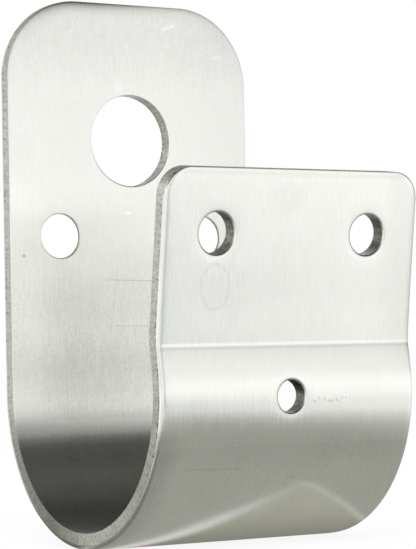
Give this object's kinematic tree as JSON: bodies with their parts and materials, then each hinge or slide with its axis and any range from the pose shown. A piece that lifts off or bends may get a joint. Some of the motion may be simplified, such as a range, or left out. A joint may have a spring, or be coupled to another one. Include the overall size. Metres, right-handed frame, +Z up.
{
  "type": "wrap-around pipe bracket",
  "caption": "Bracket folded from thick stainless sheet: tall back plate, half-round wrap that seats a pipe and short front flange, with bolt holes, a hanging hole and a side hole.",
  "frame": {"origin": "centre of the pipe seat, on the pipe's axis at half the bracket's width", "axes": "+X along the pipe's axis, +Y towards the tall back plate, +Z up along the back plate"},
  "size_m": [0.052, 0.057, 0.0995],
  "materials": {
    "stainless_steel": "brushed along the strip, with duller punched edges"
  },
  "bodies": {
    "root": {"wrap_bracket": "stainless_steel"}
  },
  "joints": []
}
